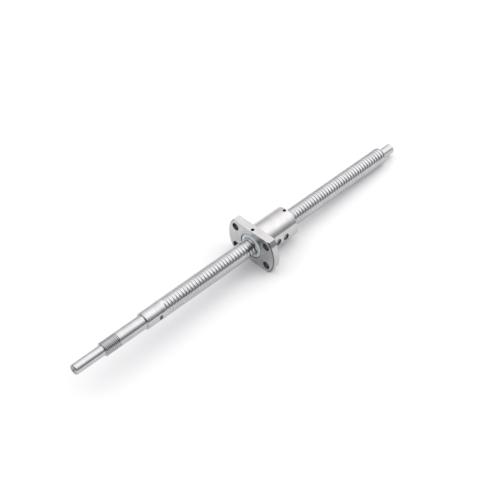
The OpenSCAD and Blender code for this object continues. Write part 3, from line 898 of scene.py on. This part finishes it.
class BALLSCREW_OT_nut(bpy.types.Operator):
    """Makes the nut: flange with flats and holes, barrel with plug holes, wiper seats and bore"""

    bl_idname = "ballscrew.nut"
    bl_label = "Nut"

    def execute(self, context):
        mm = in_mm(context.scene.ball_screw_nut)
        shaft = in_mm(context.scene.ball_screw_shaft)
        c = context.scene.ball_screw_colours
        n = mm.sides
        barrel, face, flat, skin, bore, rim_face = range(6)
        front, rear, rim, burr = mm.front, mm.rear, mm.rim, mm.burr
        corner, bolt_edge, seat_edge, screw_edge, root = 0.5, 0.15, 0.16, 0.06, 0.3
        bolt_angle = np.pi / 6
        upright = np.pi / 2

        def across(x):
            """Puts flat (y, z) points at station x."""
            return lambda p: np.column_stack([np.full(len(p), x), p])

        # Sides of the flange, from levels of station and what comes off the radius and the flats
        levels = [(front, rim, burr), (front + burr, rim - burr, 0.0), (front + rim, 0.0, 0.0),
                  (-rim, 0.0, 0.0), (-burr, rim - burr, 0.0), (0.0, rim, burr)]
        levels = [(x, mm.flange_r - r, mm.flat_z - f) for x, r, f in levels]
        patches, rings, top = flange_rims(levels, corner, flat, rim_face, skin)
        front_screw = (front + mm.seat_depth / 2, upright, mm.screw_hole_r)
        mouth = flat_ring(front_screw, burr, mm.flat_z)
        edge = rings[top][:, 1:-1]
        outline = np.concatenate([edge[0, :, :2], edge[1:-1, -1, :2], edge[-1, ::-1, :2],
                                  edge[-2:0:-1, 0, :2]])[::-1]
        patches.append(pierced_plane(outline, [mouth[:, :2]],
                                     lambda p: np.column_stack([p, np.full(len(p), mm.flat_z)]),
                                     (0, 0, 1), flat))

        # Flange holes and both faces
        bolt_mouth = mm.bolt_r + bolt_edge
        bolt_levels = ((front, bolt_mouth), (front + bolt_edge, mm.bolt_r),
                       (-bolt_edge, mm.bolt_r), (0.0, bolt_mouth))
        bolt_rings = []
        for way in ((-1, -1), (-1, 1), (1, -1), (1, 1)):
            centre = mm.bolt_circle_r * circle(bolt_angle) * way
            # The bolt hole walls take the dark skin colour: painted shade inside the holes.
            patches += hole_wall([across(x)(centre + r * circle(HOLE_TURN))
                                  for x, r in bolt_levels], AXIAL, [skin] * 3)
            bolt_rings.append(centre + bolt_mouth * circle(HOLE_TURN))
        around = turns(n)[:-1]
        big = circle(around)
        seat_mouth = mm.seat_r + seat_edge
        patches.append(turned_over(pierced_plane(
            rings[:, 0, 1:], [*bolt_rings, seat_mouth * big], across(front), (1, 0, 0), face)))
        patches.append(pierced_plane(
            rings[:, -1, 1:], [*bolt_rings, (mm.barrel_r + root) * big], across(0.0), (1, 0, 0),
            face))

        # Barrel from its root to its free end, and the mouths of the wiper seats. The fillet at the
        # root is a little smaller than the root, so that both edges beside it keep a length
        wall_end = rear - mm.barrel_rim
        plugs = [(mm.plug_at + k * mm.plug_pitch, angle, mm.plug_r)
                 for k, angle in ((-1, np.pi), (0, 0.0), (1, np.pi))]
        rear_screw = (rear - mm.seat_depth / 2, upright, mm.screw_hole_r)
        patches += [
            turned([(0.0, mm.barrel_r + root), (0.0, mm.barrel_r, root * 0.999),
                    (root, mm.barrel_r)], n, barrel),
            pierced_wall(root, wall_end, mm.barrel_r, n,
                         [(*p, burr) for p in plugs] + [(*rear_screw, screw_edge)], barrel,
                         rows=24),
            turned([(wall_end, mm.barrel_r), (rear, mm.barrel_r - mm.barrel_rim, 0.05),
                    (rear, seat_mouth)], n, face),
            # The seat mouth chamfers take the dark skin colour: painted shade in the groove round
            # each wiper.
            turned([(rear, seat_mouth), (rear - seat_edge, mm.seat_r)], n, skin),
            turned([(front + seat_edge, mm.seat_r), (front, seat_mouth)], n, skin)]

        # Wiper seats and the grooved bore between them
        floor_x = front + mm.seat_depth, rear - mm.seat_depth
        patches += [pierced_wall(x0, x1, mm.seat_r, n, [(*hole, 0.0)], bore, inner=True)
                    for x0, x1, hole in ((front + seat_edge, floor_x[0], front_screw),
                                         (floor_x[1], rear - seat_edge, rear_screw))]
        lead, groove_at = shaft.lead, shaft.groove_at
        bore_room, edge_room = 0.3, 0.1
        bore_crest_r = shaft.crest_r + bore_room
        bore_columns = np.array([-1.0, -0.7, -0.6, -0.4, -0.2, 0.0, 0.2, 0.4, 0.6, 0.7])

        def bore_r(x, angle):
            """Radius of the bore, whose groove follows the helix of the screw's groove."""
            off = (x - groove_at - lead * angle / TURN + lead / 2) % lead - lead / 2
            return gothic(off, bore_crest_r, outward=-1.0)

        def bore_fill(angle):
            """Points along the helix, in columns across each groove."""
            count = int(np.ceil((floor_x[1] - floor_x[0]) / lead)) + 4
            x = groove_at + lead * np.arange(-count, count)[:, None] + bore_columns
            turn, x = np.meshgrid(angle[1:-1], x.ravel())
            x = x + lead * turn / TURN
            kept = (x > floor_x[0] + edge_room) & (x < floor_x[1] - edge_room)
            return np.stack([turn[kept], x[kept]], -1)

        patches.append(pierced_wall(*floor_x, bore_r, n, [(*p, 0.0) for p in plugs], bore,
                                    inner=True, fill=bore_fill, rows=90))
        for x, way in zip(floor_x, (-1, 1)):
            inner = polar(x, bore_r(np.full(n, x), around), around)[:, 1:]
            patch = pierced_plane(mm.seat_r * big, [inner], across(x), (1, 0, 0), bore)
            patches.append(patch if way > 0 else turned_over(patch))

        # Walls of the radial holes, each with a broken edge at its mouth. Their inner parts take
        # the dark skin colour, which is painted shade inside the holes.
        for hole, edge, inner_r in (*((plug, burr, bore_r) for plug in plugs),
                                    (rear_screw, screw_edge, mm.seat_r)):
            ways = radial(hole[1])
            patches += hole_wall([round_ring(hole, edge, mm.barrel_r)[1],
                                  round_ring(hole, 0.0, mm.barrel_r)[1] - edge * ways[0],
                                  round_ring(hole, 0.0, inner_r)[1]], ways, [barrel, skin])
        patches += hole_wall([mouth, flat_ring(front_screw, 0.0, mm.flat_z - burr),
                              round_ring(front_screw, 0.0, mm.seat_r)[1]], radial(upright),
                             [flat, skin])
        piece = assemble("nut", patches, [
            metal("nut_barrel", c.barrel, 0.18, 10.0, "round", **FINE),
            metal("nut_faces", c.nut, 0.30, 7.0, "rings"),
            metal("nut_flats", c.barrel, 0.28, 9.0, "flat"),
            # Dark skin of the chamfers, and painted shade in the holes and seat mouths.
            metal("nut_skin_and_shade", c.skin, 0.45, 8.0, "round"),
            metal("nut_bore", c.thread, 0.30, 10.0, "round"),
            metal("nut_rim", c.screw, 0.16, 10.0, "round", **FINE)])
        hand_over(piece, "nut", "nut_steel", "nut_body")
        return {"FINISHED"}


class BALLSCREW_OT_wipers(bpy.types.Operator):
    """Makes the two moulded wiper rings"""

    bl_idname = "ballscrew.wipers"
    bl_label = "Wipers"

    def execute(self, context):
        mm = in_mm(context.scene.ball_screw_nut)
        c = context.scene.ball_screw_colours
        # The lip takes a darker colour than the ring: painted shade in the wiper mouth.
        finishes = [moulded("wiper_plastic", c.wiper), moulded("wiper_lip", c.lip)]
        room, edge, lead_in = 0.05, 0.05, 0.1
        outer, thick = mm.seat_r - room, mm.seat_depth - room
        lip_r, lip_wall, mouth_r, rim_r = 5.08, 0.2, 5.6, 7.15
        proud, dip, slope, shelf = 0.25, 0.2, 0.5, 0.75
        groove_from, groove_to, groove_r = 1.0, 2.5, outer - 0.4

        # Outlines as (depth, radius, fillet): the ring from its mouth round the outside to the
        # back, with a groove for the set screw point, and the lip back through the middle
        ring = [(0, mouth_r), (0, rim_r - slope, 0.3), (dip, rim_r, 0.15), (shelf, rim_r, edge),
                (shelf, outer, edge), (groove_from, outer, edge), (groove_from, groove_r, edge),
                (groove_to, groove_r, edge), (groove_to, outer, edge), (thick, outer, lead_in),
                (thick, lip_r + lead_in)]
        lip = [(thick, lip_r + lead_in), (thick - lead_in, lip_r), (-proud, lip_r, edge),
               (-proud, lip_r + lip_wall, edge), (0, mouth_r)]
        for name, face, way in (("front_wiper", mm.front, 1), ("rear_wiper", mm.rear, -1)):
            patches = []
            for finish, corners in enumerate((ring, lip)):
                corners = [(face + way * depth, *rest) for depth, *rest in corners]
                patches.append(turned(corners[::way], mm.sides, finish))
            piece = assemble(name.replace("_", "_ring_"), patches, finishes)
            hand_over(piece, "wipers", "wiper_plastic", name)
        return {"FINISHED"}


class BALLSCREW_OT_set_screws(bpy.types.Operator):
    """Makes the two set screws with their hexagon sockets"""

    bl_idname = "ballscrew.set_screws"
    bl_label = "Set screws"

    def execute(self, context):
        mm = in_mm(context.scene.ball_screw_nut)
        black = metal("set_screw_black", context.scene.ball_screw_colours.black, 0.42, 8.0, "flat")
        body_r, point_r, socket_r = mm.screw_hole_r - 0.025, 0.7, 0.43
        point_low, point_top = mm.seat_r - 0.25, mm.seat_r + 0.2
        edge, rim, lead_in, socket_depth, drill_depth = 0.1, 0.12, 0.07, 0.6, 0.75
        front_sink, rear_sink = 0.9, 0.3
        places = (("front_set_screw", mm.front + mm.seat_depth / 2, mm.flat_z - front_sink),
                  ("rear_set_screw", mm.rear - mm.seat_depth / 2, mm.barrel_r - rear_sink))
        angle = turns(48)[:, None]

        # A hexagon whose flats lie at radius r is at r / cos(angle from the nearest flat)
        sixth = np.pi / 3
        hexagon = 1 / np.cos((angle + sixth / 2) % sixth - sixth / 2)
        for name, x, top in places:
            # Outline from the point up the outside and down the socket: (radius, height, hexed)
            r, h, hexed = np.array([
                (0, point_low, 0), (point_r - edge, point_low, 0), (point_r, point_low + edge, 0),
                (point_r, point_top, 0), (body_r - edge, point_top, 0),
                (body_r, point_top + edge, 0), (body_r, top - rim, 0), (body_r - rim, top, 0),
                (socket_r + lead_in, top, 1), (socket_r, top - lead_in, 1),
                (socket_r, top - socket_depth, 1), (0, top - drill_depth, 1)]).T[:, None, :]
            radius = r * np.where(hexed > 0, hexagon, 1.0)
            points = np.stack([x + radius * np.cos(angle), radius * np.sin(angle),
                               h + 0 * radius], -1)
            patches = []
            for i in range(points.shape[1] - 1):
                pair, ring = points[:, i:i + 2], points[:-1, max(i, 1)]
                around = np.roll(ring, -1, 0) - np.roll(ring, 1, 0)
                normal = np.cross(np.concatenate([around, around[:1]]), pair[:, 1] - pair[:, 0])
                patches.append(grid_patch(pair, np.repeat(normal[:, None], 2, 1), 0))
            piece = assemble(name.replace("_screw", "_screw_socket"), patches, [black])
            hand_over(piece, "nut", "set_screw_black", name)
        return {"FINISHED"}


class BALLSCREW_OT_inner_parts(bpy.types.Operator):
    """Gives the deflector plugs and the balls their finishes"""

    bl_idname = "ballscrew.inner_parts"
    bl_label = "Deflectors and balls"

    def execute(self, context):
        c = context.scene.ball_screw_colours
        plug = metal("deflector_steel", c.plug, 0.38, 6.0, "flat")
        ball = metal("ball_chrome", c.ball, 0.08, 3.0, "round", tone=0.03, film=0.02, spread=0.04)
        for name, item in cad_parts.items():
            if "deflector" in name or "balls" in name:
                item.data.materials.clear()
                item.data.materials.append(plug if "deflector" in name else ball)
        return {"FINISHED"}


# Light of the room by direction, as (place, level) stops: ROOM_SIDES from behind the camera over
# the top to the far side, ROOM_HEIGHT by height above the table, and ROOM_NEAR along X, dim at the
# drive end of the screw and bright at its far end. Overhead, ROOM_ABOVE keeps the drive end as
# bright as the middle. ROOM_HUE makes the dim parts cool and the bright parts warm.
ROOM_SIDES = ((-0.65, 0.09), (-0.35, 0.115), (-0.12, 0.20), (0.08, 0.28), (0.24, 0.39),
              (0.385, 0.55), (0.58, 0.79), (0.78, 0.98), (1.0, 1.0))
ROOM_HEIGHT = ((-0.3, 0.38), (0.075, 0.47), (0.455, 0.69), (0.65, 0.85), (0.80, 1.0))
ROOM_NEAR = ((-0.6, 0.60), (0.1, 0.94), (0.43, 1.0), (0.60, 1.12), (0.85, 1.55))
ROOM_ABOVE = ((0.4, 0.6), (0.7, 1.0))
ROOM_HUE = ((0.1, (0.965, 1.0, 1.055)), (0.5, (1.0, 1.0, 1.03)), (0.9, (1.015, 1.0, 1.0)))
ROOM_LEVEL = 1.76

# Level directions away from the camera and to its left, how much height and left count towards
# the far side, and how much the far side takes off the height.
FAR_WAY = (0.686, 0.727)
LEFT_WAY = (-0.727, 0.686)
TOP_SHARE = 0.9
LEFT_SHARE = 0.5
FAR_SINK = 0.25

# Fill lamp on the right, which lights the table but doesn't show in the steel.
LAMP_SIDE = 0.8
LAMP_SPOT = (0.5, -0.65, 0.6)
LAMP_WATTS = 2.0

# Table: half its side, its rise along X because the part lies on the flange and on the far end of
# the screw, its height below the axis, and the strength of its own light.
TABLE_REACH = 3.0
TABLE_SLOPE = 0.059
TABLE_DROP = -0.011
TABLE_GLOW = 0.07

# Camera: focal length in millimetres, tilt, roll and heading in degrees, and place in metres.
CAMERA_LENS = 89.474
CAMERA_TURN = (45.9646, 1.3444, -44.6288)
CAMERA_SPOT = (-0.340481, -0.354917, 0.468942)


def ramp(tree, value, stops):
    """A value that runs in straight pieces through (place, level) stops."""
    low, high = stops[0][0], stops[-1][0]
    made = node(tree, "ShaderNodeValToRGB", i0=map_range(tree, value, low, high))
    elements = made.color_ramp.elements
    for _ in stops[2:]:
        elements.new(0.5)
    for element, (at, level) in zip(elements, stops):
        element.position = (at - low) / (high - low)
        element.color = (*np.broadcast_to(level, 3), 1)
    return made.outputs[0]


def room_light():
    """World whose light depends on the direction: the lower of the side and height levels, times
    the level along X."""
    world = bpy.data.worlds.new("studio")
    world.use_nodes = True
    tree = world.node_tree
    tree.nodes.clear()
    way = node(tree, "ShaderNodeTexCoord").outputs["Generated"]
    x, y, z = node(tree, "ShaderNodeSeparateXYZ", i0=way).outputs

    def towards(heading):
        return plus(tree, times(tree, x, heading[0]), times(tree, y, heading[1]))

    far = towards(FAR_WAY)
    left = math_node(tree, "MAXIMUM", towards(LEFT_WAY), 0.0)
    left = times(tree, times(tree, left, left), LEFT_SHARE)
    slant = plus(tree, far, times(tree, z, TOP_SHARE))
    sides = ramp(tree, plus(tree, slant, left), ROOM_SIDES)
    lift = math_node(tree, "SUBTRACT", z, times(tree, far, FAR_SINK))
    height = ramp(tree, lift, ROOM_HEIGHT)
    near = math_node(tree, "MAXIMUM", ramp(tree, x, ROOM_NEAR), ramp(tree, z, ROOM_ABOVE))
    level = times(tree, math_node(tree, "MINIMUM", sides, height), near)
    tint = blend(tree, 1.0, level, ramp(tree, level, ROOM_HUE), "MULTIPLY")
    light = node(tree, "ShaderNodeBackground", i0=tint, Strength=ROOM_LEVEL)
    node(tree, "ShaderNodeOutputWorld", i0=light.outputs[0])
    return world


class BALLSCREW_OT_stage(bpy.types.Operator):
    """Makes the table, the soft light and the camera of the photograph"""

    bl_idname = "ballscrew.stage"
    bl_label = "Stage"

    def execute(self, context):
        scene = context.scene
        corners = TABLE_REACH * np.array([[-1, -1], [1, -1], [1, 1], [-1, 1]])
        points = np.column_stack([corners, TABLE_DROP + TABLE_SLOPE * corners[:, 0]])
        mesh = bpy.data.meshes.new("table")
        mesh.from_pydata(points.tolist(), [], [[0, 1, 2, 3]])
        mesh.materials.append(table_top("table_top", scene.ball_screw_colours.floor))
        table = bpy.data.objects.new("table", mesh)
        scene.collection.objects.link(table)

        scene.world = room_light()
        lamp = bpy.data.lights.new("fill", "AREA")
        lamp.shape, lamp.size, lamp.energy = "SQUARE", LAMP_SIDE, LAMP_WATTS
        softbox = bpy.data.objects.new("fill", lamp)
        softbox.location = LAMP_SPOT
        softbox.rotation_euler = Vector(LAMP_SPOT).to_track_quat("Z", "Y").to_euler()
        softbox.visible_glossy = False
        scene.collection.objects.link(softbox)

        camera = bpy.data.cameras.new("camera")
        camera.sensor_width = 36.0
        camera.lens = CAMERA_LENS
        camera.clip_end = 50.0
        view = bpy.data.objects.new("camera", camera)
        view.matrix_world = Matrix.LocRotScale(CAMERA_SPOT, Euler(np.radians(CAMERA_TURN)), None)
        scene.collection.objects.link(view)
        scene.camera = view
        scene.view_settings.view_transform = "Standard"
        return {"FINISHED"}


class BALLSCREW_PT_panel(bpy.types.Panel):
    """Lists the pieces of the ball screw"""

    bl_label = "Ball screw"
    bl_idname = "BALLSCREW_PT_panel"
    bl_space_type = "VIEW_3D"
    bl_region_type = "UI"
    bl_category = "Ball screw"

    def draw(self, context):
        for operator in OPERATORS:
            self.layout.operator(operator.bl_idname)
        scene = context.scene
        for group in (scene.ball_screw_shaft, scene.ball_screw_nut, scene.ball_screw_colours):
            box = self.layout.box()
            for key in group.__annotations__:
                box.prop(group, key)


OPERATORS = (BALLSCREW_OT_screw, BALLSCREW_OT_nut, BALLSCREW_OT_wipers, BALLSCREW_OT_set_screws,
             BALLSCREW_OT_inner_parts, BALLSCREW_OT_stage)
GROUPS = (BallScrewShaftSizes, BallScrewNutSizes, BallScrewColours)


def register():
    """Registers the classes and puts the sizes and colours on the scene."""
    for cls in (*GROUPS, *OPERATORS, BALLSCREW_PT_panel):
        bpy.utils.register_class(cls)
    bpy.types.Scene.ball_screw_shaft = PointerProperty(type=BallScrewShaftSizes)
    bpy.types.Scene.ball_screw_nut = PointerProperty(type=BallScrewNutSizes)
    bpy.types.Scene.ball_screw_colours = PointerProperty(type=BallScrewColours)


def unregister():
    """Takes both away again."""
    del bpy.types.Scene.ball_screw_colours
    del bpy.types.Scene.ball_screw_nut
    del bpy.types.Scene.ball_screw_shaft
    for cls in (BALLSCREW_PT_panel, *OPERATORS[::-1], *GROUPS[::-1]):
        bpy.utils.unregister_class(cls)


def main():
    """Builds the pieces and the stage."""
    register()
    bpy.ops.ballscrew.screw()
    bpy.ops.ballscrew.nut()
    bpy.ops.ballscrew.wipers()
    bpy.ops.ballscrew.set_screws()
    bpy.ops.ballscrew.inner_parts()
    bpy.ops.ballscrew.stage()
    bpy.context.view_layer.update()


if __name__ == "__main__":
    main()
